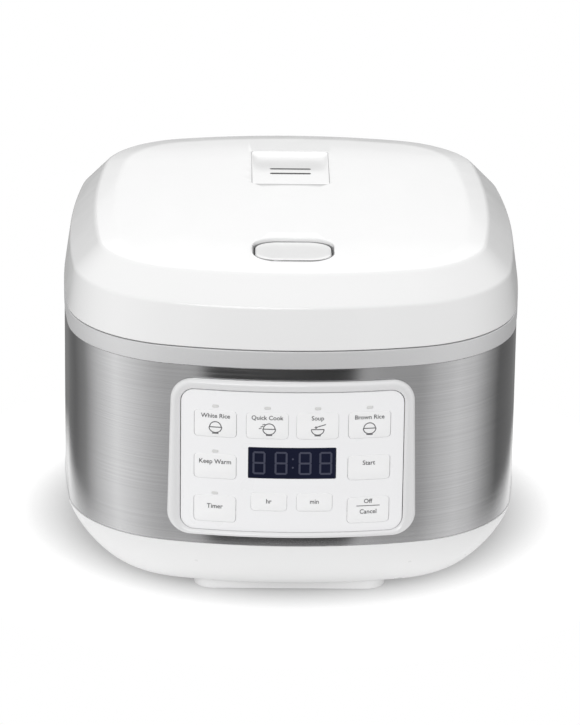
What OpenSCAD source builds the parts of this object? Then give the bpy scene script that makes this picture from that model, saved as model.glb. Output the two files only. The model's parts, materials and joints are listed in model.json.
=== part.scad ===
// Rice cooker with a hinged lid, a steel-wrapped body and a front control panel.
// Millimetres, +Z up, the front faces -Y. The origin is on the floor under the middle of the
// object's box. Every module is drawn about the pot's axis, and placed() moves it to the origin.

/* [Body] */
// Width of the body
body_w = 270; // [262:1:276]
// Depth of the body and the lid, without the rear housing
body_d = 305.2; // [298:0.2:312]
// Radius of the front and rear faces in plan
face_r = 296; // [290:1:310]
// Radius of the side faces in plan
side_r = 670; // [600:10:800]
// Radius of the corners in plan
corner_r = 77.5; // [74:0.5:80]
// Height of the white bottom case's rim
case_top = 41.2; // [40:0.2:43]
// Height of the joint between the steel wrap and the top ring
ring_bottom = 149.6; // [148:0.2:151]
// Height of the top ring, where the lid closes on it
seam = 160; // [159.6:0.1:160.4]

/* [Lid] */
// Height of the lid's upright band above the seam
band_h = 25.1; // [24:0.1:26]
// Height of the chamfer above the band
chamfer_h = 15.2; // [14.6:0.1:15.8]
// How far the chamfer's top edge lies inside the plan
chamfer_in = 18.4; // [17.8:0.1:19]
// How far the lid's top rises from its edge to its middle
crown_h = 2.3; // [1.5:0.1:3]

/* [Control panel] */
// Width of the panel bezel
bezel_w = 140; // [138:0.5:142]
// Height of the panel bezel
bezel_h = 94.6; // [94:0.2:97]
// Width of the panel face
face_w = 127; // [126:0.5:128]
// Height of the panel face
face_h = 85; // [84:0.5:86]
// Travel of each panel button
key_travel = 0.8; // [0.5:0.1:0.8]

/* [Pot] */
// Inner radius of the pot
pot_r = 103; // [100:0.5:103]
// Inner depth of the pot
pot_depth = 101; // [96:1:101]

/* [Hidden] */

eps = 0.01;
round_fn = 96;
small_fn = 48;
half_w = body_w / 2;
half_d = body_d / 2;

// Box of the whole object in y, which sets where the origin lies
bezel_rise = 3.6;
housing_rear = half_d + 26;
inlet_flange = 1.6;
shift_y = (half_d + bezel_rise - housing_rear - inlet_flange) / 2;

// Plan outline: four face arcs blended by four corner arcs, all about fixed centres
face_c = [0, face_r - half_d];
side_c = [half_w - side_r, 0];
corner_c = meet(face_c, face_r - corner_r, side_c, side_r - corner_r);
face_a = atan2(corner_c.y - face_c.y, corner_c.x - face_c.x);
side_a = atan2(corner_c.y - side_c.y, corner_c.x - side_c.x);

// Bottom case
bowl_h = 34.5;
bowl_in = 28.6;
bowl_power = 1.5;
bowl_steps = 7;
case_wall = 2.4;
case_bottom = case_top - bowl_h;
spigot_in = 1.6;
spigot_h = 7;

// Foot plate and feet
foot_w = 112;
foot_d = 238;
foot_r = 12;
foot_z = 1;
foot_floor = 2.4;
pad_r = 8;
pad_h = 2.4;
pad_at = [42, 102];
case_screw_at = [42, 70];

// Wrap, ring and well
wrap_gap = 0.3;
wrap_t = 1;
ring_plate = 2.6;
well_open_r = 113.5;
sleeve_r = 108;
flange_r = 112;
flange_top = seam - 2.5;
pot_t = 2;

// Heater and sensor
plate_r = 86;
plate_z = 44;
plate_top = flange_top - pot_depth - pot_t - 0.2;
element_r = 58;
element_z = plate_z - 4.4;
sensor_hole_r = 19;
board_size = [100, 36];
board_y0 = 80;
board_z = 13;
board_hole = [46, 14];

// Control panel, in heights above the floor
bezel_z = 94.8;
bezel_r = 13;
face_z = 93.5;
face_corner = 7.6;
face_t0 = 0.2;
face_t1 = 2;
key_size = [24, 16];
mid_key_size = [24, 15];
small_key_size = [20.6, 11];
key_corner = 2.4;
key_gap = 0.2;
key_front = 2.5;
key_rows = [116, 90, 64];
key_cols = [14.3, 43.9];
small_key_x = 13;
small_key_z = 69.4;
display_size = [50.3, 19];
display_z = 93.3;
lens_size = [3.6, 1.7];
lens_rows = [126.6, 99.2, 73.6];
board_y = -half_d + 15;
board_t = 1.6;
switch_h = 4.3;
stem_stop = board_y - switch_h - key_travel - 0.4;

// Lid
lid_gap = 0.6;
lid_bottom = seam + lid_gap;
band_in = 3.5;
lid_wall = 2.4;
crown_in = 60;
crease_z = seam + band_h;
edge_z = crease_z + chamfer_h;
lid_top = edge_z + crown_h;
frame_t = 2.4;
dome_r = 106;
dome_z = seam + 9.5;
inner_z = flange_top + 1.9;
inner_r = 103.6;
knob_y = -30;
seal_y = 50;
seal_r = 12.9;

// Lid button and latch
button_size = [44, 38];
button_corner = 13;
button_y = -96;
button_gap = 0.5;
button_tilt = 3.2;
trim_w = 0.9;
latch_y = -131;
latch_z = seam + 15;
latch_w = 14;
latch_t = 2.4;
latch_pin_r = 1.55;
latch_lever = 20;
tab_r = 1.5;
tab_gap = 0.2;
hook_y = -144;
hook_z = seam - 7;
striker_y = -138;

// Steam vent
vent_size = [47.4, 67.4];
vent_y = 60.8;
vent_depth = 1.6;
vent_flat = 0.3;
vent_low = 0.86;
vent_slot = [25, 3];
vent_slot_y = [58.1, 48.2];

// Hinge
hinge_y = half_d - 7.6;
hinge_z = seam + 9;
pin_r = 3;
run_gap = 0.05;
knuckle_r = 7;
notch_x = 70;
notch_h = 19;
notch_in = 18.5;
bracket_x = [24, 40];
bracket_screw_x = 14;
arm_x = [42, 56];
hinge_cover_r = 9.2;
hinge_base_t = 1.5;

// Rear housing and inlet
housing_w = 130;
housing_z0 = 52;
housing_z1 = seam - 2;
housing_t = 2.4;
inlet_z = 78;
inlet_w = 34;
inlet_h = 24;

// Where two circles about c1 and c2 cross, on the side that holds the front right corner
function meet(c1, r1, c2, r2) =
    let (d = c2 - c1, l = norm(d), q = (l * l + r1 * r1 - r2 * r2) / (2 * l))
    c1 + d / l * q + [-d.y, d.x] / l * sqrt(r1 * r1 - q * q);

// Points along an arc, without its last one
function arc(c, r, a0, a1, n) =
    [for (i = [0 : n - 1]) let (a = a0 + (a1 - a0) * i / n) c + r * [cos(a), sin(a)]];

// Front right quarter of the plan, moved inwards by inset
function quarter(inset) = concat(
    arc(face_c, face_r - inset, -90, face_a, 5),
    arc(corner_c, corner_r - inset, face_a, side_a, 12),
    arc(side_c, side_r - inset, side_a, 0, 4));

function mirror_x(pts) = [for (i = [len(pts) - 1 : -1 : 0]) [-pts[i].x, pts[i].y]];
function mirror_y(pts) = [for (i = [len(pts) - 1 : -1 : 0]) [pts[i].x, -pts[i].y]];
function drop_first(pts) = [for (i = [1 : len(pts) - 1]) pts[i]];

// Whole plan, counter-clockwise from the middle of the front
function plan(inset) =
    let (q = concat(quarter(inset), [[half_w - inset, 0]]),
         right = concat(q, drop_first(mirror_y(q))),
         left = mirror_x(right))
    concat(right, [for (i = [1 : len(left) - 2]) left[i]]);

function rounded(w, h, r, n = 8) = [
    for (k = [0 : 3], i = [0 : n])
        let (a = 90 * (k + i / n), sx = (k == 0 || k == 3) ? 1 : -1, sy = k < 2 ? 1 : -1)
        [sx * (w / 2 - r) + r * cos(a), sy * (h / 2 - r) + r * sin(a)]];

// A closed solid through rings of equal length; flip is for rings that start on a top face
module loft(rings, flip = false) {
    n = len(rings[0]);
    m = len(rings);
    walls = [for (i = [0 : m - 2], j = [0 : n - 1])
        let (k = (j + 1) % n) [i * n + j, (i + 1) * n + j, (i + 1) * n + k, i * n + k]];
    first = [for (j = [0 : n - 1]) j];
    last = [for (j = [n - 1 : -1 : 0]) (m - 1) * n + j];
    faces = concat(walls, [first, last]);
    turned = [for (f = faces) [for (i = [len(f) - 1 : -1 : 0]) f[i]]];
    polyhedron([for (r = rings) each r], flip ? turned : faces);
}

function ring_at(inset, z) = [for (p = plan(inset)) [p.x, p.y, z]];
function rings_of(profile) = [for (s = profile) ring_at(s[0], s[1])];

// A round wire wound about +Z
module coil(r, wire, z0, z1, turns) {
    steps = 16;
    sides = 6;
    total = turns * steps;
    rings = [for (i = [0 : total])
        let (a = 360 * i / steps, z = z0 + wire + (z1 - z0 - 2 * wire) * i / total)
        [for (k = [0 : sides - 1]) let (b = 360 * k / sides, rr = r + wire * cos(b))
            [rr * cos(a), rr * sin(a), z + wire * sin(b)]]];
    loft(rings, true);
}

module placed() {
    translate([0, shift_y, 0]) children();
}

module plan_band(inset0, inset1, z0, z1) {
    translate([0, 0, z0]) linear_extrude(z1 - z0) difference() {
        polygon(plan(inset0));
        polygon(plan(inset1));
    }
}

module plate(pts, z0, z1) {
    translate([0, 0, z0]) linear_extrude(z1 - z0) polygon(pts);
}

module tube(r0, r1, z0, z1, fn = round_fn) {
    translate([0, 0, z0]) difference() {
        cylinder(r = r1, h = z1 - z0, $fn = fn);
        translate([0, 0, -1]) cylinder(r = r0, h = z1 - z0 + 2, $fn = fn);
    }
}

module post(r, z0, z1, fn = small_fn) {
    translate([0, 0, z0]) cylinder(r = r, h = z1 - z0, $fn = fn);
}

module at_corners(p) {
    for (sx = [-1, 1], sy = [-1, 1]) translate([sx * p[0], sy * p[1], 0]) children();
}

// Moves a shape drawn on the XZ plane, facing -Y, to the curved front at x
module on_front(x) {
    translate([0, face_c.y, 0]) rotate([0, 0, asin(x / face_r)]) translate([0, -face_r, 0]) children();
}

// A prism along Y from y0 to y1 with an outline in X and Z about height z
module slab(pts, y0, y1, z) {
    translate([0, y1, z]) rotate([90, 0, 0]) linear_extrude(y1 - y0) polygon(pts);
}

// The part of its children that lies from t0 to t1 in front of the body's front face
module front_layer(t0, t1) {
    intersection() {
        children();
        translate([0, face_c.y, 0]) tube(face_r + t0, face_r + t1, 30, 160, 256);
    }
}

// A prism along Y that passes through the body's front wall, more at both ends
module through_front(pts, z, more = 0) {
    slab(pts, -half_d - 10 - more, -half_d + 30 + more, z);
}

module x_rod(r, x0, x1, fn = small_fn) {
    translate([x0, 0, 0]) rotate([0, 90, 0]) cylinder(r = r, h = x1 - x0, $fn = fn);
}

// ---------- body ----------

function bowl(i, wall) =
    let (a = 90 * i / bowl_steps)
    [wall + bowl_in * (1 - pow(cos(a), bowl_power)), case_top - (bowl_h - wall) * pow(sin(a), bowl_power)];

module bottom_case() {
    outside = [for (i = [bowl_steps : -1 : 0]) bowl(i, 0)];
    inside = [for (i = [0 : bowl_steps]) bowl(i, case_wall)];
    rim = [[spigot_in, case_top], [spigot_in, case_top + spigot_h],
        [spigot_in + case_wall, case_top + spigot_h], [spigot_in + case_wall, case_top + 1]];
    color("white") difference() {
        union() {
            loft(rings_of(concat(outside, rim, inside)));
            at_corners(case_screw_at) post(4.5, case_bottom + 1, 17);
            on_power_board() post(3, case_bottom + 1, board_z);
            on_power_board() post(1.4, case_bottom + 1, board_z + 3);
        }
        at_corners(case_screw_at) post(1.6, case_bottom - 1, 16);
        air_slots(case_bottom - 1, case_bottom + 5);
    }
}

// Nine slots that let air in under the heater
module air_slots(z0, z1) {
    for (i = [-4 : 4]) translate([i * 7 - 1.5, -24, z0]) cube([3, 48, z1 - z0]);
}

// The four corner holes of the board on the case's floor
module on_power_board() {
    translate([0, board_y0 + board_size.y / 2, 0]) at_corners(board_hole) children();
}

module foot_plate() {
    color("white") difference() {
        union() {
            difference() {
                plate(rounded(foot_w, foot_d, foot_r), foot_z, case_bottom);
                plate(rounded(foot_w - 5, foot_d - 5, foot_r - 2.5), foot_z + foot_floor, case_bottom + 1);
            }
            at_corners(pad_at) post(pad_r + 2, foot_z, case_bottom);
            at_corners(case_screw_at) post(5.5, foot_z, case_bottom);
        }
        at_corners(pad_at) post(pad_r + 0.1, 0, foot_z + 1.5);
        at_corners(case_screw_at) post(1.7, 0, 10);
        at_corners(case_screw_at) post(3.8, 0, foot_z + 2.6);
        air_slots(0, 10);
    }
}

module rubber_feet() {
    color("dimgray") at_corners(pad_at) post(pad_r, 0, pad_h);
}

module bottom_screws() {
    color("silver") at_corners(case_screw_at) {
        post(3.5, foot_z + 0.4, foot_z + 2.5);
        post(1.5, foot_z + 2.4, 15);
    }
}

module steel_wrap() {
    color("silver") difference() {
        plan_band(wrap_gap, wrap_gap + wrap_t, case_top + 0.1, ring_bottom - 0.1);
        slab(rounded(face_w + 4.4, face_h + 4.4, face_corner + 2), -half_d - 5, -half_d + 30, face_z);
        slab(rounded(40, 34, 6), half_d - 30, half_d + 5, inlet_z);
    }
}

module top_ring() {
    color("lightgray") difference() {
        union() {
            plan_band(0, case_wall, ring_bottom, seam);
            plan_band(spigot_in, spigot_in + case_wall, ring_bottom - 6, ring_bottom + 1);
            difference() {
                plate(plan(1), seam - ring_plate, seam);
                post(well_open_r, seam - 10, seam + 1, round_fn);
            }
            tube(well_open_r, well_open_r + 2, ring_bottom + 2, seam - 1);
        }
        translate([-latch_w / 2 - 1.5, -149.2, seam - 5]) cube([latch_w + 3, striker_y + 149.2, 10]);
        for (s = [-1, 1]) translate([s * bracket_screw_x, hinge_y - 1, 0]) post(1.6, seam - 5, seam + 1);
    }
}

module rear_housing() {
    outline = rounded(housing_w, 2 * housing_rear, 16);
    inner = rounded(housing_w - 2 * housing_t, 2 * (housing_rear - housing_t), 13.6);
    color("white") difference() {
        plate(outline, housing_z0, housing_z1);
        plate(inner, housing_z0 + housing_t, housing_z1 - housing_t);
        plate(plan(-0.1), housing_z0 - 1, housing_z1 + 1);
        translate([-half_w, -half_d - 50, 0]) cube([body_w, half_d + 150, 200]);
        slab(rounded(inlet_w - 3, inlet_h - 3, 4), half_d, half_d + 40, inlet_z);
        for (i = [0 : 7]) translate([-26, housing_rear - 6, 112 + i * 5]) cube([52, 12, 2]);
    }
}

module power_inlet() {
    y1 = housing_rear;
    color("black") difference() {
        union() {
            slab(rounded(inlet_w, inlet_h, 5), y1 + 0.05, y1 + inlet_flange, inlet_z);
            slab(rounded(inlet_w - 3.6, inlet_h - 3.6, 4), y1 - 20, y1 + 0.1, inlet_z);
        }
        slab(rounded(inlet_w - 9, inlet_h - 9, 3), y1 - 17, y1 + 5, inlet_z);
        for (x = [-6, 6]) translate([x, 0, inlet_z]) rotate([-90, 0, 0]) post(1.3, y1 - 30, y1);
    }
}

module inlet_pins() {
    color("gold") for (x = [-6, 6]) translate([x, 0, inlet_z]) rotate([-90, 0, 0])
        post(1.2, housing_rear - 24, housing_rear - 7);
}

module well_sleeve() {
    floor_z = plate_z - 4;
    color("lightgray") {
        union() {
            tube(sleeve_r, sleeve_r + 1, floor_z, flange_top - 3.1);
            tube(sleeve_r, well_open_r - 0.3, flange_top - 3.5, flange_top - 2.2);
            tube(plate_r + 4, sleeve_r + 1, floor_z, floor_z + 1);
            for (a = [30, 150, 270]) rotate([0, 0, a]) translate([99, 0, 0])
                post(3, case_bottom + case_wall + 0.1, floor_z + 0.1);
        }
    }
}

module band_heater() {
    color("peru") tube(sleeve_r + 1.1, sleeve_r + 2.4, 88, 132);
}

module heater_plate() {
    color("silver") difference() {
        union() {
            post(plate_r, plate_z + 1, plate_top, round_fn);
            tube(element_r - 8, element_r + 8, plate_z - 5, plate_z + 2);
        }
        post(sensor_hole_r, 0, 100, 64);
        translate([0, 0, element_z]) rotate_extrude($fn = round_fn)
            translate([element_r, 0]) circle(4.1, $fn = 32);
    }
}

module heating_element() {
    color("gray") {
        translate([0, 0, element_z]) rotate([0, 0, -75]) rotate_extrude(angle = 330, $fn = round_fn)
            translate([element_r, 0]) circle(4, $fn = 32);
        for (a = [-75, 255]) rotate([0, 0, a])
            translate([element_r, 0, 0]) post(1.6, plate_z - 18, plate_z - 5);
    }
}

module heater_posts() {
    color("beige") for (a = [30, 150, 270]) rotate([0, 0, a]) translate([76, 0, 0]) {
        post(3.5, case_bottom + case_wall + 0.1, plate_z + 0.9);
    }
}

module thermal_fuse() {
    color("beige") translate([0, 74, 0]) {
        translate([-14, 0, plate_z - 4]) x_rod(2.2, 0, 28);
        translate([-4, -4, plate_z - 1.7]) cube([8, 8, 2.6]);
    }
}

module sensor_cap() {
    color("silver") {
        post(16, plate_top - 6, plate_top + 0.05, 64);
        post(11, plate_top - 16, plate_top - 5.9);
    }
}

module sensor_guide() {
    color("gray") {
        tube(11.4, 13, plate_top - 30, plate_z + 0.9);
        tube(12.9, 30, plate_z - 0.5, plate_z + 0.9);
        post(11.5, plate_top - 31.5, plate_top - 29.9);
    }
}

module sensor_spring() {
    color("silver") coil(8, 0.7, plate_top - 29.8, plate_top - 16.1, 6);
}

module inner_pot() {
    bottom = flange_top - pot_depth;
    r = 16;
    inside = concat([[0, bottom]], arc([pot_r - r, bottom + r], r, -90, 0, 8), [[pot_r, bottom + r]]);
    outside = concat(arc([pot_r - r, bottom + r], r + pot_t, 0, -90, 8),
        [[pot_r - r, bottom - pot_t], [0, bottom - pot_t]]);
    rim = [[pot_r, flange_top], [flange_r, flange_top],
        [flange_r, flange_top - 2], [pot_r + pot_t, flange_top - 2]];
    color("dimgray") rotate_extrude($fn = round_fn) polygon(concat(inside, rim, outside));
}

// ---------- control panel ----------

module panel_bezel() {
    opening = rounded(face_w + 0.4, face_h + 0.4, face_corner + 0.2);
    color("whitesmoke") difference() {
        union() {
            front_layer(0.1, bezel_rise) through_front(rounded(bezel_w, bezel_h, bezel_r), bezel_z);
            front_layer(-4, 0.3)
                through_front(rounded(face_w + 3.6, face_h + 3.6, face_corner + 1.8), face_z);
        }
        through_front(opening, face_z, 2);
    }
}

// Each key is [node name, x, height above the floor, size]
keys = [
    ["key_rice", -key_cols[1], key_rows[0], key_size],
    ["key_quick", -key_cols[0], key_rows[0], key_size],
    ["key_soup", key_cols[0], key_rows[0], key_size],
    ["key_brown", key_cols[1], key_rows[0], key_size],
    ["key_warm", -key_cols[1], key_rows[1], mid_key_size],
    ["key_start", key_cols[1], key_rows[1], mid_key_size],
    ["key_timer", -key_cols[1], key_rows[2], key_size],
    ["key_off", key_cols[1], key_rows[2], key_size],
    ["key_hour", -small_key_x, small_key_z, small_key_size],
    ["key_minute", small_key_x, small_key_z, small_key_size]];
lenses = [[-key_cols[1], lens_rows[0]], [-key_cols[0], lens_rows[0]], [key_cols[0], lens_rows[0]],
    [key_cols[1], lens_rows[0]], [-key_cols[1], lens_rows[1]], [-key_cols[1], lens_rows[2]]];

module panel_face() {
    color("white") difference() {
        front_layer(face_t0, face_t1) through_front(rounded(face_w, face_h, face_corner), face_z);
        for (k = keys) on_front(k[1])
            slab(rounded(k[3].x + 2 * key_gap, k[3].y + 2 * key_gap, key_corner), -10, 10, k[2]);
        for (l = lenses) on_front(l.x)
            slab(rounded(lens_size.x + 0.2, lens_size.y + 0.2, 0.9), -10, 10, l.y);
        through_front(rounded(display_size.x + 0.2, display_size.y + 0.2, 0.8), display_z, 2);
    }
}

module key(k) {
    surface_y = face_c.y - face_r * cos(asin(k[1] / face_r));
    stem = (stem_stop - surface_y) / cos(asin(k[1] / face_r));
    color("white") on_front(k[1]) {
        slab(rounded(k[3].x, k[3].y, key_corner - key_gap), -key_front, -0.2, k[2]);
        translate([0, 0, k[2]]) rotate([-90, 0, 0]) post(2, -0.3, stem);
    }
}

module display_window() {
    color("black") front_layer(0.5, face_t1 + 0.1)
        through_front(rounded(display_size.x, display_size.y, 0.7), display_z);
}

module display_module() {
    color("gray") translate([-24.9, -half_d + 1.8, display_z - 9.3])
        cube([49.8, board_y + half_d - 1.9, 18.6]);
}

module indicator_lenses() {
    color("lightgray") for (l = lenses) on_front(l.x)
        slab(rounded(lens_size.x, lens_size.y, 0.8), -face_t1 - 0.1, 0.4, l.y);
}

module control_board() {
    color("seagreen") difference() {
        translate([-56, board_y, 57]) cube([112, board_t, 73]);
        for (x = [-52.5, 52.5], z = [60.5, 126.5])
            translate([x, board_y + 3, z]) rotate([90, 0, 0]) post(1.6, 0, 6);
    }
}

module tact_switches() {
    color("black") for (k = keys) translate([k[1], 0, k[2]]) {
        translate([-3, board_y - switch_h + 1.2, -3]) cube([6, switch_h - 1.25, 6]);
        rotate([-90, 0, 0]) post(1.6, board_y - switch_h, board_y - switch_h + 1.3);
    }
}

module board_parts() {
    back = board_y + board_t + 0.05;
    color("black") {
        translate([-8, back, 84]) cube([16, 2.4, 16]);
        translate([24, back, 100]) rotate([-90, 0, 0]) post(6, 0, 7);
        translate([-34, back, 64]) cube([20, 6, 8]);
        translate([20, back, 64]) cube([14, 10, 12]);
        for (i = [0 : 5]) translate([-40 + 5 * i, back, 108]) cube([3, 1.4, 5]);
    }
}

module board_carrier() {
    y0 = board_y + board_t + 0.1;
    lug_y = face_c.y - face_r + 8.9;
    lug_z = face_h / 2 - 0.3;
    color("white") {
        difference() {
            translate([-59, y0, 54]) cube([118, 12, 79]);
            translate([-50, y0 - 1, 59]) cube([100, 20, 69]);
            translate([-57, y0 + 2.2, 56]) cube([114, 20, 75]);
        }
        for (sx = [-1, 1], sz = [-1, 1]) translate([sx * 50 - 3, lug_y, face_z + sz * lug_z - 3])
            cube([6, y0 + 12 - lug_y, 6]);
    }
}

module power_board() {
    color("seagreen") difference() {
        translate([-board_size.x / 2, board_y0, board_z + 0.05]) cube([board_size.x, board_size.y, board_t]);
        on_power_board() post(1.5, 0, 40);
    }
}

// Transformer, relay, fuse block and capacitor on the power board
module power_parts() {
    color("darkgoldenrod") translate([0, board_y0, board_z + board_t + 0.1]) {
        translate([-38, 5, 0]) cube([28, 24, 18]);
        translate([14, 4, 0]) cube([20, 12, 15]);
        translate([-4, 6, 0]) cube([10, 22, 9]);
        translate([25, 25, 0]) post(6, 0, 16);
    }
}

// ---------- latch and hinge on the body ----------

module latch_striker() {
    color("silver") translate([-14, striker_y + 0.1, seam - ring_plate - 1.6]) cube([28, 14, 1.5]);
}

module hinge_bracket() {
    color("lightgray") difference() {
        union() {
            intersection() {
                translate([-60, hinge_y - 7, seam + eps]) cube([120, 20, hinge_base_t]);
                plate(plan(1.5), seam, seam + 10);
            }
            for (s = [-1, 1]) {
                x0 = s > 0 ? bracket_x[0] : -bracket_x[1];
                translate([x0, hinge_y - 6, seam + 1]) cube([16, 12, hinge_z - seam - 1]);
                translate([0, hinge_y, hinge_z]) x_rod(knuckle_r, x0, x0 + 16);
            }
        }
        translate([0, hinge_y, hinge_z]) x_rod(pin_r + run_gap, -70, 70);
        for (s = [-1, 1]) translate([s * bracket_screw_x, hinge_y - 1, 0]) post(1.7, seam - 5, seam + 5);
    }
}

// Fixed shroud over the spring and the bracket's knuckles, between the lid's two arms
module hinge_cover() {
    reach = hinge_cover_r + 1;
    color("white") translate([0, hinge_y, hinge_z]) difference() {
        x_rod(hinge_cover_r, 0.5 - arm_x[0], arm_x[0] - 0.5, 64);
        x_rod(knuckle_r + 0.3, -reach * 5, reach * 5, 64);
        translate([-reach * 5, -reach, -reach]) cube([reach * 10, reach + 6.2, reach]);
        translate([-reach * 5, -reach, -reach]) cube([reach * 10, 2 * reach, reach + seam - hinge_z + 1.6]);
    }
}

module bracket_screws() {
    color("silver") for (s = [-1, 1]) translate([s * bracket_screw_x, hinge_y - 1, 0]) {
        post(1.5, seam - 8, seam + 1.6);
        post(3, seam + 1.55, seam + 2.6);
    }
}

module hinge_pin() {
    color("silver") translate([0, hinge_y, hinge_z]) {
        x_rod(pin_r, -57.5, 57.5);
        x_rod(pin_r + 1.5, 56.4, 58.6);
    }
}

module hinge_spring() {
    color("gray") translate([0, hinge_y, hinge_z]) rotate([0, 90, 0]) coil(4.6, 0.8, -22, 22, 14);
}

// ---------- lid ----------

// Inset and height of the lid's outer skin from the crown down, then of its inner skin
lid_profile = [[crown_in, lid_top],
    [30, edge_z + 0.72 * crown_h], [chamfer_in + 1.6, edge_z + 0.18 * crown_h],
    [chamfer_in - 1.2, edge_z - 1.2], [band_in + 1.2, crease_z + 1.3], [band_in - 0.5, crease_z - 1.4],
    [0.4, lid_bottom + 4], [0, lid_bottom]];
lid_hollow = [[lid_wall, lid_bottom], [lid_wall + 0.4, lid_bottom + 4], [band_in + 1.8, crease_z - 1.2],
    [chamfer_in + 1.4, edge_z - 3.2],
    [30, edge_z + 0.72 * crown_h - lid_wall], [crown_in, lid_top - lid_wall]];
cover_boss_at = [90, 98];

module lid_cover() {
    color("white") difference() {
        union() {
            loft(rings_of(concat(lid_profile, lid_hollow)), true);
            at_corners(cover_boss_at) post(4, lid_bottom + frame_t + 0.1, edge_z - 1.2);
        }
        at_corners(cover_boss_at) post(1.6, lid_bottom, edge_z - 8);
        translate([0, button_y, 0]) plate(button_outline(trim_w + button_gap), edge_z - 12, edge_z + 20);
        translate([0, vent_y, 0]) plate(rounded(vent_size.x, vent_size.y, 3), edge_z - 12, edge_z + 20);
        hinge_notch();
    }
}

// Room for the hinge in the lid's rear wall
module hinge_notch() {
    translate([-notch_x, half_d - notch_in, seam - 5]) cube([2 * notch_x, 60, notch_h + 5]);
}

function button_outline(grow) =
    rounded(button_size.x + 2 * grow, button_size.y + 2 * grow, button_corner + grow, 12);

module lid_frame() {
    z0 = lid_bottom + 0.1;
    arm_y = half_d - notch_in - 12;
    color("white") difference() {
        union() {
            difference() {
                plate(plan(lid_wall + 0.5), z0, z0 + frame_t);
                post(dome_r, z0 - 1, z0 + 5, round_fn);
                hinge_notch();
            }
            tube(dome_r - 0.1, dome_r + 2, z0, dome_z);
            difference() {
                post(dome_r + 2, dome_z - 2, dome_z, round_fn);
                translate([0, seal_y, 0]) post(seal_r + 0.1, 0, 300);
            }
            translate([0, button_y, 0]) tube(8.6, 10.4, dome_z - 1, dome_z + 12, small_fn);
            for (s = [-1, 1]) {
                x0 = s > 0 ? arm_x[0] : -arm_x[1];
                translate([0, hinge_y, hinge_z]) x_rod(knuckle_r, x0, x0 + arm_x[1] - arm_x[0]);
                translate([x0, arm_y, hinge_z - 5]) cube([arm_x[1] - arm_x[0], hinge_y - arm_y, 8]);
                translate([x0, arm_y, z0 + 1]) cube([arm_x[1] - arm_x[0], 11.9, hinge_z - z0]);
                translate([s * (latch_w / 2 + 2.6) - 1.5, latch_y - 5, z0 + 1])
                    cube([3, 10, latch_z - z0 + 4]);
            }
        }
        translate([0, hinge_y, hinge_z]) x_rod(pin_r + run_gap, -70, 70);
        translate([0, latch_y, latch_z]) x_rod(latch_pin_r, -30, 30);
        translate([-latch_w / 2 - 1, -150, z0 - 1]) cube([latch_w + 2, 14, 10]);
        at_corners(cover_boss_at) post(1.7, 0, 200);
        at_corners(cover_boss_at) post(3.3, 0, z0 + 1.4);
    }
}

module lid_screws() {
    color("silver") at_corners(cover_boss_at) {
        post(3, lid_bottom + 0.2, lid_bottom + 1.4);
        post(1.5, lid_bottom + 1.3, lid_bottom + 14);
    }
}

module inner_lid() {
    z = inner_z;
    top = [[0, z + 7.2], [70, z + 6.4], [92, z + 3.2], [96, z + 1.2], [inner_r, z + 1.2]];
    under = [[inner_r, z], [95.6, z], [91.6, z + 2], [69.6, z + 5.2], [0, z + 6]];
    color("silver") difference() {
        rotate_extrude($fn = round_fn) polygon(concat(top, under));
        for (a = [0 : 60 : 359]) translate([8 * cos(a), seal_y + 8 * sin(a), 0]) post(1.6, 0, 300, 24);
        translate([0, knob_y, 0]) post(3.2, 0, 300);
    }
}

// Ring whose inner groove grips the disc's edge and whose lip meets the pot's flange
module inner_lid_seal() {
    z = inner_z;
    lip = [[95.6, z - 0.2], [97.5, z - 1.4], [106, z - 1.6], [110, z - 0.8], [110, z + 0.9]];
    groove = [[inner_r + 2, z + 0.9], [inner_r + 2, z + 2.4], [inner_r - 0.8, z + 2.4],
        [inner_r - 0.8, z + 1.4], [inner_r + 0.2, z + 1.4], [inner_r + 0.2, z - 0.2]];
    color("gainsboro") rotate_extrude($fn = round_fn) polygon(concat(lip, groove));
}

module inner_lid_knob() {
    color("gainsboro") translate([0, knob_y, 0]) {
        post(3.1, inner_z + 5.2, dome_z - 2);
        post(6, inner_z + 3.4, inner_z + 5.3);
    }
}

// The button's top slopes down from front to rear
module open_button() {
    z = edge_z + 1.2;
    tab_z = latch_z + latch_t / 2 + tab_gap + tab_r;
    color("white") translate([0, button_y, 0]) {
        difference() {
            plate(button_outline(0), z - 9, z + 3);
            translate([-40, 0, z]) rotate([-button_tilt, 0, 0]) translate([0, -40, 0]) cube([80, 80, 20]);
            plate(button_outline(-2), z - 10, z - 2.4);
        }
        post(8.2, z - 14, z - 12);
        post(5, dome_z + 6.5, z - 2);
        translate([0, latch_y + latch_lever - button_y, tab_z]) x_rod(tab_r, -5, 5);
        translate([-5, latch_y + latch_lever - button_y - tab_r, tab_z])
            cube([10, 2 * tab_r, z - 2 - tab_z]);
    }
}

module button_trim() {
    color("silver") translate([0, button_y, 0]) difference() {
        plate(button_outline(trim_w + button_gap - 0.05), edge_z - 3, edge_z + 1.75);
        plate(button_outline(button_gap), edge_z - 6, edge_z + 5);
    }
}

module button_spring() {
    color("silver") translate([0, button_y, 0]) coil(7, 0.6, dome_z + 0.1, edge_z - 12.9, 6);
}

// Lever on a cross pin: the button pushes its rear end down and swings its hook forwards
module lid_latch() {
    tip_y = striker_y - 0.3;
    color("white") translate([-latch_w / 2, 0, 0]) difference() {
        union() {
            translate([0, latch_y, latch_z]) x_rod(4, 0, latch_w);
            translate([0, hook_y, latch_z - latch_t / 2]) cube([latch_w, latch_y - hook_y, latch_t]);
            translate([0, hook_y, hook_z]) cube([latch_w, latch_t, latch_z - hook_z]);
            translate([0, hook_y, hook_z]) cube([latch_w, tip_y - hook_y, latch_t]);
            translate([2, latch_y, latch_z - latch_t / 2]) cube([latch_w - 4, latch_lever + 2, latch_t]);
        }
        translate([0, latch_y, latch_z]) x_rod(latch_pin_r + run_gap, -5, latch_w + 5);
    }
}

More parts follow.
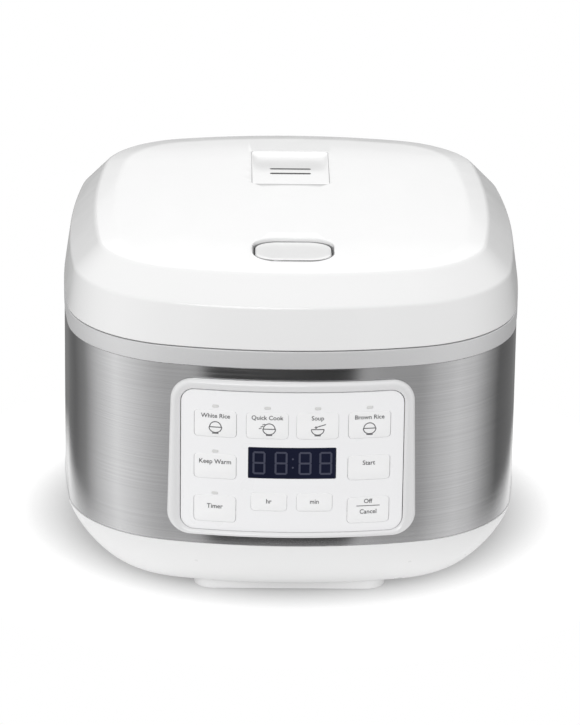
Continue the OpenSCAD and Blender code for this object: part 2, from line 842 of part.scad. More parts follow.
module latch_pin() {
    color("silver") translate([0, latch_y, latch_z]) x_rod(latch_pin_r, -latch_w / 2 - 4, latch_w / 2 + 4);
}

// Depth of the vent's dished top at the share s of its length, 0 at both ends
function vent_drop(s) =
    let (fall = max((s - vent_flat) / (vent_low - vent_flat), 0), climb = (1 - s) / (1 - vent_low))
    vent_depth / 2 * (1 - cos(180 * min(fall, climb)));

module vent_cap() {
    w = vent_size.x - 0.6;
    d = vent_size.y - 0.6;
    top = lid_top - 0.3;
    steps = 20;
    side = concat([for (i = [0 : steps]) [-d / 2 + d * i / steps, top - vent_drop(i / steps)]],
        [[d / 2, edge_z - 8], [-d / 2, edge_z - 8]]);
    color("white") translate([0, vent_y, 0]) difference() {
        intersection() {
            rotate([90, 0, 90]) translate([0, 0, -w / 2]) linear_extrude(w) polygon(side);
            plate(rounded(w, d, 2.7), edge_z - 10, edge_z + 20);
        }
        plate(rounded(w - 4, d - 4, 2), edge_z - 10, edge_z - 4.4);
        for (y = vent_slot_y) translate([0, y - vent_y, 0])
            plate(rounded(vent_slot.x, vent_slot.y, 1.4), edge_z - 12, edge_z + 20);
    }
}

module vent_cap_base() {
    color("white") difference() {
        union() {
            translate([0, seal_y, 0]) post(seal_r - 1.4, dome_z - 3, edge_z - 8);
            translate([0, vent_y, 0])
                plate(rounded(vent_size.x - 1, vent_size.y - 1, 2.5), edge_z - 10, edge_z - 8.02);
        }
        translate([0, seal_y, 0]) post(seal_r - 3.4, 0, edge_z);
    }
}

module vent_seal() {
    color("gainsboro") translate([0, seal_y, 0]) tube(seal_r - 1.3, seal_r, dome_z - 3, dome_z + 1.5, 64);
}

placed() bottom_case();
placed() foot_plate();
placed() rubber_feet();
placed() bottom_screws();
placed() steel_wrap();
placed() top_ring();
placed() rear_housing();
placed() power_inlet();
placed() inlet_pins();
placed() well_sleeve();
placed() band_heater();
placed() heater_plate();
placed() heating_element();
placed() heater_posts();
placed() thermal_fuse();
placed() sensor_cap();
placed() sensor_guide();
placed() sensor_spring();
placed() inner_pot();
placed() panel_bezel();
placed() panel_face();
placed() display_window();
placed() display_module();
placed() indicator_lenses();
placed() control_board();
placed() board_parts();
placed() tact_switches();
placed() board_carrier();
placed() power_board();
placed() power_parts();
placed() latch_striker();
placed() hinge_bracket();
placed() hinge_cover();
placed() hinge_pin();
placed() hinge_spring();
placed() bracket_screws();
for (k = keys) placed() key(k);
placed() lid_cover();
placed() lid_frame();
placed() lid_screws();
placed() inner_lid();
placed() inner_lid_seal();
placed() inner_lid_knob();
placed() button_trim();
placed() open_button();
placed() button_spring();
placed() lid_latch();
placed() latch_pin();
placed() vent_cap();
placed() vent_cap_base();
placed() vent_seal();
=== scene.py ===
"""Visual model of a rice cooker with a hinged lid, a steel wrap and a front control panel.

Metres, in the frame of the CAD model: the front faces -Y and the floor is at z = 0. Shapes are
worked out in millimetres about the pot's axis, and place() takes a point to metres in the frame.
"""
import json
import math

import bmesh
import bpy
from mathutils import Matrix, Vector

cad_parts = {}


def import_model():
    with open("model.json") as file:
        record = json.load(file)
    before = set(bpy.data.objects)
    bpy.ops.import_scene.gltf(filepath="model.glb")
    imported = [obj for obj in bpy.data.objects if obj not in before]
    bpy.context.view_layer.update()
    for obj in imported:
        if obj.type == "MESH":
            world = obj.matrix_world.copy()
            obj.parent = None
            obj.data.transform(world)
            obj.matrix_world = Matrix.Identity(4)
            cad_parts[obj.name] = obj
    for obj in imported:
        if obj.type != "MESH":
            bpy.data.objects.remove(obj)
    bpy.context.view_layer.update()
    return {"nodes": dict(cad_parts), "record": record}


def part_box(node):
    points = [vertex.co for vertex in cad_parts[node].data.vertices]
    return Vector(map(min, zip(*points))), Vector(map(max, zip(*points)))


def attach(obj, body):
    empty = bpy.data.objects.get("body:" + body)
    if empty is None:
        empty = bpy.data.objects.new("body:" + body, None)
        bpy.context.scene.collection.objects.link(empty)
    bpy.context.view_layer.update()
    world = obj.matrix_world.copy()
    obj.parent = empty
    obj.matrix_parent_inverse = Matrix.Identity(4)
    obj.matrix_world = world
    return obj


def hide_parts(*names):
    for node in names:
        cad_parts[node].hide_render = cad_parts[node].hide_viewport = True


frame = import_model()

MM = 0.001

# ---------- sizes read from the frame, in millimetres ----------


def box_mm(node):
    low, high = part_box(node)
    return [v / MM for v in low], [v / MM for v in high]


ring_low, ring_high = box_mm("top_ring")
CENTRE_Y = (ring_low[1] + ring_high[1]) / 2
HALF_W = ring_high[0]
HALF_D = (ring_high[1] - ring_low[1]) / 2
SEAM = ring_high[2]
WRAP_GAP = 0.1
RING_BOTTOM = box_mm("steel_wrap")[1][2] + WRAP_GAP
CASE_TOP = box_mm("steel_wrap")[0][2] - WRAP_GAP
CASE_BOTTOM = box_mm("bottom_case")[0][2]
LID_LOW = box_mm("lid_cover")[0][2]
LID_TOP = box_mm("lid_cover")[1][2]

# Plan outline: face, corner and side arcs, tangent to one another
FACE_R = 296.0
SIDE_R = 670.0
CORNER_R = 77.5

# Lid heights above the seam and insets from the plan
BAND_H = 25.1
BAND_IN = 3.5
EDGE_H = 40.3
EDGE_IN = 18.4
CROWN_IN = 60.0
LID_WALL = 2.4

WELL_R = 113.5
BOWL_IN = 28.6
WRAP_IN = 0.3
WRAP_BACK = 1.3


def place(x, y, z):
    return Vector((x * MM, (y + CENTRE_Y) * MM, z * MM))


# ---------- plan outline ----------


def blend_centre():
    """Centre of the front right corner arc, and the angles where it meets its neighbours."""
    face = Vector((0.0, FACE_R - HALF_D))
    side = Vector((HALF_W - SIDE_R, 0.0))
    r1, r2 = FACE_R - CORNER_R, SIDE_R - CORNER_R
    gap = side - face
    dist = gap.length
    along = (dist * dist + r1 * r1 - r2 * r2) / (2 * dist)
    across = math.sqrt(r1 * r1 - along * along)
    u = gap / dist
    centre = face + u * along + Vector((-u.y, u.x)) * across
    a_face = math.atan2(centre.y - face.y, centre.x - face.x)
    a_side = math.atan2(centre.y - side.y, centre.x - side.x)
    return face, centre, side, a_face, a_side


def rim_samples(n_face=18, n_corner=26, n_side=12):
    """Arc centre, radius and angle of every point of the plan, counter-clockwise from the front."""
    face, corner, side, a_face, a_side = blend_centre()
    quarter = []
    for centre, radius, a0, a1, n in (
        (face, FACE_R, -math.pi / 2, a_face, n_face),
        (corner, CORNER_R, a_face, a_side, n_corner),
        (side, SIDE_R, a_side, 0.0, n_side),
    ):
        quarter += [(centre.x, centre.y, radius, a0 + (a1 - a0) * i / n) for i in range(n)]
    end = (side.x, side.y, SIDE_R, 0.0)
    right = quarter + [end] + [(x, -y, r, -a) for x, y, r, a in reversed(quarter)]
    left = [(-x, y, r, math.pi - a) for x, y, r, a in reversed(right[1:-1])]
    return right + left


RIM = rim_samples()


def plan_ring(inset):
    return [(x + (r - inset) * math.cos(a), y + (r - inset) * math.sin(a)) for x, y, r, a in RIM]


def circle_ring(radius):
    """A circle whose points lie at the same bearings as the plan's."""
    return [(radius * x / math.hypot(x, y), radius * y / math.hypot(x, y)) for x, y in plan_ring(0.0)]


def scaled_ring(inset, scale):
    return [(x * scale, y * scale) for x, y in plan_ring(inset)]


def rect(x0, y0, x1, y1):
    return [(x0, y0), (x1, y0), (x1, y1), (x0, y1)]


def rounded_rect(w, h, r, n=8):
    """Corner-rounded rectangle about the origin, counter-clockwise."""
    points = []
    for k, (sx, sy) in enumerate(((1, 1), (-1, 1), (-1, -1), (1, -1))):
        for i in range(n + 1):
            a = math.pi / 2 * (k + i / n)
            points.append((sx * (w / 2 - r) + r * math.cos(a), sy * (h / 2 - r) + r * math.sin(a)))
    return points


def dense(points, step=2.0):
    """The closed outline with its long edges divided, so it follows a curved face."""
    out = []
    for (x0, y0), (x1, y1) in zip(points, points[1:] + points[:1]):
        parts = max(1, math.ceil(math.hypot(x1 - x0, y1 - y0) / step))
        out += [(x0 + (x1 - x0) * k / parts, y0 + (y1 - y0) * k / parts) for k in range(parts)]
    return out


def between(points, count):
    """The open polyline with each span divided into count parts."""
    out = []
    for (x0, y0), (x1, y1) in zip(points, points[1:]):
        out += [(x0 + (x1 - x0) * k / count, y0 + (y1 - y0) * k / count) for k in range(count)]
    return out + [points[-1]]


def fillet(points, radii, n=6):
    """The open polyline with each inner corner rounded to its radius."""
    out = [tuple(points[0])]
    for i in range(1, len(points) - 1):
        p, a, b = Vector(points[i]), Vector(points[i - 1]), Vector(points[i + 1])
        da, db = (a - p).normalized(), (b - p).normalized()
        half = math.acos(max(-1.0, min(1.0, da.dot(db)))) / 2
        if radii[i] <= 0 or half > 1.56:
            out.append(tuple(p))
            continue
        reach = min(radii[i] / math.tan(half), (a - p).length * 0.49, (b - p).length * 0.49)
        start, end = p + da * reach, p + db * reach
        for k in range(n + 1):
            t = k / n
            out.append(tuple(start * (1 - t) ** 2 + p * 2 * t * (1 - t) + end * t * t))
    out.append(tuple(points[-1]))
    return out


# ---------- mesh building ----------


def new_object(name, bm, material, body, sharp=35.0):
    """Turns a bmesh into a smooth-shaded piece that rides on a body."""
    bmesh.ops.recalc_face_normals(bm, faces=bm.faces)
    for f in bm.faces:
        f.smooth = True
    for e in bm.edges:
        e.smooth = len(e.link_faces) == 2 and e.calc_face_angle(0.0) < math.radians(sharp)
    mesh = bpy.data.meshes.new(name)
    bm.to_mesh(mesh)
    bm.free()
    mesh.materials.append(material)
    obj = bpy.data.objects.new(name, mesh)
    bpy.context.scene.collection.objects.link(obj)
    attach(obj, body)
    return obj


def loft_bmesh(rings, cyclic=False):
    """Quads between rings of points in metres. A cyclic loft joins its last ring to its first;
    any other is closed with a fan at each end."""
    bm = bmesh.new()
    uv = bm.loops.layers.uv.new("UVMap")
    rows = [[bm.verts.new(p) for p in ring] for ring in rings]
    n = len(rows[0])
    longest = max(range(len(rings)), key=lambda k: sum(
        (rows[k][(j + 1) % n].co - rows[k][j].co).length for j in range(n)))
    around = [0.0]
    for j in range(n):
        around.append(around[-1] + (rows[longest][(j + 1) % n].co - rows[longest][j].co).length)
    down = [0.0]
    for i in range(1, len(rows)):
        down.append(down[-1] + (rows[i][0].co - rows[i - 1][0].co).length)
    spans = len(rows) if cyclic else len(rows) - 1
    for i in range(spans):
        a, b = rows[i], rows[(i + 1) % len(rows)]
        v1 = down[i + 1] if i + 1 < len(down) else down[i] + 0.001
        for j in range(n):
            k = (j + 1) % n
            f = bm.faces.new((a[j], b[j], b[k], a[k]))
            for loop, (u, v) in zip(f.loops, ((around[j], down[i]), (around[j], v1),
                                              (around[j + 1], v1), (around[j + 1], down[i]))):
                loop[uv].uv = (u, v)
    if not cyclic:
        for row in (rows[0], rows[-1]):
            middle = bm.verts.new(sum((v.co for v in row), Vector()) / n)
            for j in range(n):
                f = bm.faces.new((row[j], row[(j + 1) % n], middle))
                for loop in f.loops:
                    loop[uv].uv = (loop.vert.co.x, loop.vert.co.y)
    return bm


def level_ring(outline, z):
    return [place(x, y, z) for x, y in outline]


def plan_rings(profile):
    """Rings of the plan outline for (inset, height) points."""
    return [level_ring(plan_ring(inset), z) for inset, z in profile]


def prism(points, z0, z1, flare=0.0, flare_h=0.0):
    """A cutter along Z: points in the plan, with a flare at the top that rounds the edge it cuts."""
    rings = [level_ring(points, z0), level_ring(points, z1)]
    if flare:
        cx = sum(p[0] for p in points) / len(points)
        cy = sum(p[1] for p in points) / len(points)
        rings.pop()
        for k in range(5):
            a = math.pi / 2 * k / 4
            grow = flare * (1 - math.cos(a))
            ring = []
            for x, y in points:
                d = math.hypot(x - cx, y - cy)
                ring.append(place(x + (x - cx) / d * grow, y + (y - cy) / d * grow,
                                  z1 - flare_h + flare_h * math.sin(a)))
            rings.append(ring)
        rings.append([p + Vector((0, 0, 5 * MM)) for p in rings[-1]])
    return loft_bmesh(rings)


def shifted(points, dx, dy):
    return [(x + dx, y + dy) for x, y in points]


def temp_object(bm):
    """An object that lives only for a boolean."""
    bmesh.ops.recalc_face_normals(bm, faces=bm.faces)
    mesh = bpy.data.meshes.new("temp")
    bm.to_mesh(mesh)
    bm.free()
    obj = bpy.data.objects.new("temp", mesh)
    bpy.context.scene.collection.objects.link(obj)
    return obj


def carve(bm, cutters, operation="DIFFERENCE"):
    """Boolean of a closed bmesh with closed cutters; returns the new bmesh."""
    base = temp_object(bm)
    tools = [temp_object(c) for c in cutters]
    for tool in tools:
        mod = base.modifiers.new("cut", "BOOLEAN")
        mod.solver = "EXACT"
        mod.operation = operation
        mod.object = tool
    graph = bpy.context.evaluated_depsgraph_get()
    result = bpy.data.meshes.new_from_object(base.evaluated_get(graph))
    out = bmesh.new()
    out.from_mesh(result)
    for obj in [base] + tools:
        mesh = obj.data
        bpy.data.objects.remove(obj)
        bpy.data.meshes.remove(mesh)
    bpy.data.meshes.remove(result)
    return out


def joined(parts):
    """One bmesh that holds all the parts."""
    out = bmesh.new()
    for part in parts:
        mesh = bpy.data.meshes.new("temp")
        part.to_mesh(mesh)
        part.free()
        out.from_mesh(mesh)
        bpy.data.meshes.remove(mesh)
    return out


# ---------- materials ----------


class Nodes:
    """The node tree of a material or a world, with short calls for the nodes used here."""

    def __init__(self, owner):
        owner.use_nodes = True
        self.owner = owner
        self.tree = owner.node_tree
        self.shader = self.tree.nodes.get("Principled BSDF")

    def add(self, kind, inputs=None, **settings):
        node = self.tree.nodes.new(kind)
        for key, value in settings.items():
            setattr(node, key, value)
        for key, value in (inputs or {}).items():
            self.feed(node.inputs[key], value)
        return node

    def feed(self, socket, value):
        if isinstance(value, bpy.types.NodeSocket):
            self.tree.links.new(value, socket)
        else:
            socket.default_value = value

    def set(self, **inputs):
        for key, value in inputs.items():
            self.feed(self.shader.inputs[key.replace("_", " ")], value)

    def coords(self, kind="Object", scale=(1, 1, 1)):
        source = self.add("ShaderNodeTexCoord").outputs[kind]
        return self.add("ShaderNodeMapping", {"Vector": source, "Scale": scale}).outputs["Vector"]

    def math(self, operation, a, b):
        return self.add("ShaderNodeMath", {0: a, 1: b}, operation=operation).outputs[0]

    def noise(self, vector, scale, detail=3.0, rough=0.5):
        node = self.add("ShaderNodeTexNoise",
                        {"Vector": vector, "Scale": scale, "Detail": detail, "Roughness": rough})
        return node.outputs["Fac"]

    def span(self, value, low, high, from_low=0.3, from_high=0.7):
        node = self.add("ShaderNodeMapRange", {"Value": value, "From Min": from_low,
                                               "From Max": from_high, "To Min": low, "To Max": high})
        return node.outputs["Result"]

    def smooth_step(self, value, low, high):
        node = self.add("ShaderNodeMapRange", {"Value": value, "From Min": low, "From Max": high},
                        interpolation_type="SMOOTHSTEP")
        return node.outputs["Result"]

    def tint(self, value, dark, light, low=0.3, high=0.7):
        ramp = self.add("ShaderNodeValToRGB", {"Fac": value})
        ramp.color_ramp.elements[0].position = low
        ramp.color_ramp.elements[0].color = (*dark, 1)
        ramp.color_ramp.elements[1].position = high
        ramp.color_ramp.elements[1].color = (*light, 1)
        return ramp.outputs["Color"]

    def bump(self, height, strength, distance):
        return self.add("ShaderNodeBump", {"Height": height, "Strength": strength,
                                           "Distance": distance}).outputs["Normal"]


def grey(v):
    return (v, v, v)


def shade(color, k):
    return tuple(c * k for c in color)


def plastic(name, color, rough, grain=700.0, depth=0.00002, vary=0.03, coat=0.0, ior=1.48):
    """Moulded plastic: slight mottling, uneven gloss and a fine orange-peel surface."""
    m = Nodes(bpy.data.materials.new(name))
    space = m.coords()
    broad = m.noise(space, 9.0, detail=2.0)
    fine = m.noise(space, grain, detail=2.0)
    m.set(Base_Color=m.tint(broad, shade(color, 1 - vary), color),
          Roughness=m.span(m.noise(space, 60.0), rough * 0.85, rough * 1.2),
          IOR=ior, Coat_Weight=coat, Coat_Roughness=0.05,
          Normal=m.bump(fine, 0.15, depth))
    return m.owner


def metal(name, color, rough, stretch=(1, 1, 1), scale=900.0, depth=0.00001, aniso=0.0,
          coords="Object", vary=0.12, rough_vary=0.25, metallic=1.0):
    """Metal with a fine surface texture; stretch draws it out into brushed grain."""
    m = Nodes(bpy.data.materials.new(name))
    space = m.coords(coords, stretch)
    grain = m.noise(space, scale, 4.0, 0.6)
    m.set(Base_Color=m.tint(grain, shade(color, 1 - vary), color, 0.35, 0.65),
          Metallic=metallic, Anisotropic=aniso, Anisotropic_Rotation=0.25,
          Roughness=m.span(grain, rough * (1 - rough_vary), rough * (1 + rough_vary)),
          Normal=m.bump(grain, 0.3, depth))
    if aniso:
        tangent = m.add("ShaderNodeTangent", direction_type="UV_MAP", uv_map="UVMap")
        m.set(Tangent=tangent.outputs["Tangent"])
    return m.owner


def printed(name, color):
    """Screen-printed ink."""
    m = Nodes(bpy.data.materials.new(name))
    space = m.coords()
    m.set(Base_Color=m.tint(m.noise(space, 900.0), shade(color, 0.8), shade(color, 1.1)),
          Roughness=m.span(m.noise(space, 500.0), 0.45, 0.6),
          Normal=m.bump(m.noise(space, 2500.0), 0.1, 0.00001))
    return m.owner


def dark_glass(name, color, rough):
    """A near-black glossy window."""
    m = Nodes(bpy.data.materials.new(name))
    space = m.coords()
    m.set(Base_Color=m.tint(m.noise(space, 30.0), shade(color, 0.85), shade(color, 1.15)),
          Roughness=m.span(m.noise(space, 200.0), rough * 0.8, rough * 1.3),
          IOR=1.5, Normal=m.bump(m.noise(space, 400.0), 0.05, 0.00001))
    return m.owner


mat = {
    "lid_plastic": plastic("lid_plastic", grey(0.89), 0.2, grain=450.0, vary=0.01, coat=0.2),
    "white_plastic": plastic("white_plastic", grey(0.86), 0.32, vary=0.01),
    "wrap_steel": metal("wrap_steel", (0.56, 0.56, 0.565), 0.17, stretch=(6, 2600, 1), scale=1.0,
                        depth=0.000002, aniso=0.8, coords="UV", vary=0.12),
    "ring_silver": metal("ring_silver", (0.70, 0.70, 0.705), 0.45, scale=1800.0, vary=0.04,
                         rough_vary=0.1, metallic=0.3),
    "bezel_plastic": plastic("bezel_plastic", (0.80, 0.80, 0.805), 0.16, vary=0.01, coat=0.3),
    "panel_white": plastic("panel_white", (0.97, 0.97, 0.98), 0.3, vary=0.005),
    "key_white": plastic("key_white", (0.97, 0.97, 0.975), 0.34, vary=0.005),
    "display_dark": dark_glass("display_dark", (0.010, 0.012, 0.030), 0.12),
    "module_black": plastic("module_black", (0.03, 0.03, 0.035), 0.5),
    "lens_clear": plastic("lens_clear", (0.78, 0.78, 0.77), 0.25),
    # Dark metal trim round the button, made dark so that it also stands in for the shadow in the gap
    # round the button: partly painted shade
    "trim_chrome": metal("trim_chrome", (0.28, 0.28, 0.285), 0.1, scale=300.0, vary=0.02,
                         rough_vary=0.2),
    "inlet_black": plastic("inlet_black", (0.025, 0.025, 0.025), 0.5),
    "pin_brass": metal("pin_brass", (0.72, 0.55, 0.27), 0.3),
    "sheet_steel": metal("sheet_steel", (0.55, 0.55, 0.56), 0.35, scale=150.0),
    "spring_steel": metal("spring_steel", (0.40, 0.40, 0.41), 0.35, scale=1200.0),
    "screw_steel": metal("screw_steel", (0.58, 0.58, 0.59), 0.3, scale=1500.0),
    "cast_alu": metal("cast_alu", (0.66, 0.66, 0.67), 0.5, scale=1200.0, depth=0.00004),
    "element_grey": metal("element_grey", (0.25, 0.25, 0.26), 0.55, scale=800.0),
    "mica_band": plastic("mica_band", (0.42, 0.30, 0.18), 0.5, vary=0.3),
    "ceramic": plastic("ceramic", (0.75, 0.70, 0.60), 0.35, vary=0.1),
    "pot_dark": plastic("pot_dark", (0.05, 0.05, 0.053), 0.32, grain=1800.0, depth=0.00003, vary=0.3),
    "lid_alu": metal("lid_alu", (0.74, 0.74, 0.75), 0.32, scale=1500.0, vary=0.05),
    "silicone": plastic("silicone", (0.72, 0.72, 0.70), 0.45, vary=0.05),
    "foot_rubber": plastic("foot_rubber", (0.05, 0.05, 0.05), 0.75, grain=900.0, depth=0.0001),
    "board_green": plastic("board_green", (0.02, 0.16, 0.06), 0.4, vary=0.2),
    "parts_dark": plastic("parts_dark", (0.04, 0.04, 0.04), 0.5),
}
ink = printed("legend_ink", (0.10, 0.10, 0.105))
# Dark grey for the walls of the vent's steam slots: painted shade in the slots
slot_painted_shade = plastic("slot_painted_shade", grey(0.22), 0.5)
digit_off = plastic("digit_off", (0.060, 0.064, 0.100), 0.35)


def dress_cad_nodes():
    """Gives every CAD node the material of its slot in the record."""
    for part in frame["record"]["subparts"]:
        node = frame["nodes"][part["node"]]
        material = mat[part["material_slot"]]
        if not node.data.materials:
            node.data.materials.append(material)
        for i in range(len(node.material_slots)):
            node.material_slots[i].material = material


# ---------- shells ----------

CUT_DEPTH = 14.0
VENT_GAP = 0.08
TRIM_GAP = 0.05
TRIM_R = 14.4
VENT_R = 2.8


def middle_y(low, high):
    """A box's middle, in millimetres behind the pot's axis."""
    return (low[1] + high[1]) / 2 - CENTRE_Y


def clear_outline(low, high, gap, r, n):
    """A rounded rectangle that clears a box in plan by the gap on every side."""
    outline = rounded_rect(high[0] - low[0] + 2 * gap, high[1] - low[1] + 2 * gap, r, n)
    return shifted(outline, 0, middle_y(low, high))


def lid_cover():
    """The lid's shell, hollow below, with holes for the button and vent and a notch for the hinge."""
    outer = fillet(
        [(CROWN_IN, LID_TOP), (EDGE_IN + 12, LID_TOP - 0.75), (EDGE_IN, SEAM + EDGE_H),
         (BAND_IN, SEAM + BAND_H), (0.0, LID_LOW), (LID_WALL, LID_LOW)],
        [0, 40, 4.5, 4, 0.7, 0], n=8)
    inner = [(LID_WALL, LID_LOW + 4), (BAND_IN + 2, SEAM + BAND_H - 1.5),
             (EDGE_IN + 2, SEAM + EDGE_H - 3), (CROWN_IN, LID_TOP - LID_WALL)]
    scales = (0.85, 0.7, 0.55, 0.4, 0.25, 0.1)
    rings = [level_ring(scaled_ring(CROWN_IN, s), LID_TOP) for s in reversed(scales)]
    rings += plan_rings(outer)
    rings += plan_rings(inner)
    rings += [level_ring(scaled_ring(CROWN_IN, s), LID_TOP - LID_WALL) for s in scales[::2]]
    trim = clear_outline(*box_mm("button_trim"), TRIM_GAP, TRIM_R, 14)
    vent = clear_outline(*box_mm("vent_cap"), VENT_GAP, VENT_R, 6)
    hinge_notch = rect(-70, 134.1, 70, 200)
    bm = carve(loft_bmesh(rings), [
        prism(trim, LID_TOP - CUT_DEPTH, LID_TOP, flare=0.5, flare_h=0.9),
        prism(vent, LID_TOP - CUT_DEPTH, LID_TOP, flare=0.2, flare_h=0.3),
        prism(hinge_notch, SEAM - 5, SEAM + 19),
    ])
    piece = new_object("lid_shell", bm, mat["lid_plastic"], "lid")
    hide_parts("lid_cover")


def top_ring():
    """The silver rim and its plate, from the edge of the well out and round to its underside."""
    wall, plate, lip = 2.4, 2.6, 2.0
    well_edge = [(0.0, RING_BOTTOM + lip), (0.0, SEAM - 0.6), (0.15, SEAM - 0.15), (0.6, SEAM)]
    rim = fillet([(1.2, SEAM), (0.0, SEAM), (0.0, RING_BOTTOM), (wall, RING_BOTTOM)],
                 [0, 0.7, 0.5, 0], n=5)
    under = [(lip, SEAM - plate), (lip, RING_BOTTOM + lip)]
    rings = [level_ring(circle_ring(WELL_R + out), z) for out, z in well_edge]
    rings += plan_rings([(9.0, SEAM)] + rim + [(wall, SEAM - plate)])
    rings += [level_ring(circle_ring(WELL_R + out), z) for out, z in under]
    latch_slot = rect(-8.5, -149.2, 8.5, -137.9)
    bm = carve(loft_bmesh(rings, cyclic=True), [prism(latch_slot, SEAM - 6, SEAM + 5)])
    piece = new_object("ring_shell", bm, mat["ring_silver"], "body")
    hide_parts("top_ring")


def steel_wrap():
    """A thin band round the body with a window for the control panel."""
    low, high = CASE_TOP + WRAP_GAP, RING_BOTTOM - WRAP_GAP
    profile = fillet([(WRAP_BACK, low), (WRAP_IN, low), (WRAP_IN, high), (WRAP_BACK, high)],
                     [0, 0.3, 0.3, 0], n=3)
    middle = [(WRAP_IN, CASE_TOP + (RING_BOTTOM - CASE_TOP) * t) for t in (0.25, 0.5, 0.75)]
    profile = profile[:5] + middle + profile[5:]
    window = front_prism(rounded_rect(*WRAP_WINDOW), FACE_Z)
    bm = carve(loft_bmesh(plan_rings(profile), cyclic=True), [window])
    piece = new_object("wrap_shell", bm, mat["wrap_steel"], "body", sharp=25)
    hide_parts("steel_wrap")


def bottom_case():
    """A bowl with a rim that fits inside the steel wrap, and a row of air slots in its floor."""
    steps = 22
    outer = []
    inner = []
    height = CASE_TOP - CASE_BOTTOM
    wall = 2.4
    rim_in, rim_back, rim_h = 1.6, 4.0, 7.0
    power = 1.5
    for i in range(steps + 1):
        a = math.pi / 2 * i / steps
        c, s = max(math.cos(a), 0.0) ** power, math.sin(a) ** power
        outer.append((BOWL_IN * (1 - c), CASE_TOP - height * s))
        inner.append((wall + BOWL_IN * (1 - c), CASE_TOP - (height - wall) * s))
    rings = [level_ring(scaled_ring(BOWL_IN, s), CASE_BOTTOM) for s in (0.3, 0.6, 0.9)]
    rings += plan_rings(list(reversed(outer)))
    rings += plan_rings([(rim_in, CASE_TOP), (rim_in, CASE_TOP + rim_h),
                         (rim_back, CASE_TOP + rim_h), (rim_back, CASE_TOP + 1)])
    rings += plan_rings(inner)
    rings += [level_ring(scaled_ring(BOWL_IN + wall, s), CASE_BOTTOM + wall) for s in (0.9, 0.5)]
    air_slot = rounded_rect(3.0, 48.0, 1.4, 4)
    slot_pitch = 7.0
    slots = [prism(shifted(air_slot, i * slot_pitch, 0), CASE_BOTTOM - 2, CASE_BOTTOM + 5)
             for i in range(-4, 5)]
    bm = carve(loft_bmesh(rings), slots)
    piece = new_object("case_shell", bm, mat["white_plastic"], "body")
    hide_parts("bottom_case")


# ---------- control panel ----------

FACE_CENTRE_Y = FACE_R - HALF_D

# Panel plate, and how far its front and back stand before the body's face
FACE_Z = 93.5
FACE_W = 127.0
FACE_H = 85.0
FACE_CORNER = 7.6
FACE_OUT = 2.0
FACE_BACK = 0.3

# Bezel: NARROW scales its width, and FLARE makes it wider towards the bottom
BEZEL_Z = 94.8
BEZEL_W = 140.0
BEZEL_H = 94.6
BEZEL_CORNER = 13.0
BEZEL_NARROW = 0.989
BEZEL_FLARE = 0.034
BEZEL_HOLE = (127.4, 85.4, 7.8)
WRAP_WINDOW = (131.4, 89.4, 9.6)
# Share of the way from the outer to the inner outline, and height above the body's face
BEZEL_SECTION = [(0.0, 0.1), (0.0, 1.5), (0.03, 2.2), (0.1, 2.9), (0.2, 3.4), (0.32, 3.6),
                 (0.5, 3.55), (0.68, 3.25), (0.82, 2.8), (0.92, 2.3), (0.97, 1.8), (0.98, 0.8),
                 (0.98, 0.3), (0.9, 0.1)]


def on_face(x, z, out):
    """The point at x and z, out millimetres in front of the body's front face."""
    r = FACE_R + out
    return place(x, FACE_CENTRE_Y - math.sqrt(r * r - x * x), z)


def front_prism(points, z, x=0.0):
    """A cutter along Y through the front wall."""
    rings = []
    for y in (-HALF_D - CUT_DEPTH, -HALF_D + 30):
        rings.append([place(px + x, y, pz + z) for px, pz in points])
    return loft_bmesh(rings)


def between_outlines(outer, inner, share):
    """The outline that lies the given share of the way from one outline to another."""
    return [(ox + (ix - ox) * share, oy + (iy - oy) * share)
            for (ox, oy), (ix, iy) in zip(outer, inner)]


def panel_bezel():
    """The outlines are divided together, so that their points still match one to one."""
    outer_raw = rounded_rect(BEZEL_W, BEZEL_H, BEZEL_CORNER, 12)
    inner_raw = rounded_rect(*BEZEL_HOLE, 12)
    outer, inner = [], []
    for i, (a, b) in enumerate(zip(outer_raw, inner_raw)):
        a2, b2 = outer_raw[(i + 1) % len(outer_raw)], inner_raw[(i + 1) % len(inner_raw)]
        parts = max(1, math.ceil(math.hypot(a2[0] - a[0], a2[1] - a[1]) / 3.0))
        outer += between([a, a2], parts)[:-1]
        inner += between([b, b2], parts)[:-1]
    outer = [(x * (BEZEL_NARROW + BEZEL_FLARE * (0.5 - z / BEZEL_H)), z) for x, z in outer]
    inner = shifted(inner, 0, FACE_Z - BEZEL_Z)
    rings = [[on_face(x, BEZEL_Z + z, out) for x, z in between_outlines(outer, inner, share)]
             for share, out in BEZEL_SECTION]
    bm = loft_bmesh(rings, cyclic=True)
    piece = new_object("bezel_shell", bm, mat["bezel_plastic"], "body")
    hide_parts("panel_bezel")


def plate_on_face(w, h, r, z, x=0.0, out=FACE_OUT, back=FACE_BACK, edge=0.25, dome=None):
    """A plate bent to the front face: rounded outline, rolled edge, optional dome(u, v)."""
    outline = dense(rounded_rect(w, h, r, 8))
    shares = (0.97, 0.93, 0.86, 0.76, 0.64, 0.5, 0.35, 0.2, 0.08)

    def ring(scale_in, height):
        pts = []
        for px, pz in outline:
            qx, qz = px * scale_in, pz * scale_in
            lift = dome(2 * qx / w, 2 * qz / h) if dome else 0.0
            pts.append(on_face(x + qx, z + qz, height + lift))
        return pts

    k = 1 - edge / (min(w, h) / 2)
    rings = [ring(1.0, back), ring(1.0, out - edge)]
    for i in range(1, 5):
        a = math.pi / 2 * i / 4
        grow = 1 - (1 - k) * (1 - math.cos(a))
        rings.append(ring(grow, out - edge + edge * math.sin(a)))
    rings += [ring(k * s, out) for s in shares]
    back_rings = [ring(k * s, back) for s in (0.1, 0.9)]
    return loft_bmesh(back_rings + rings)


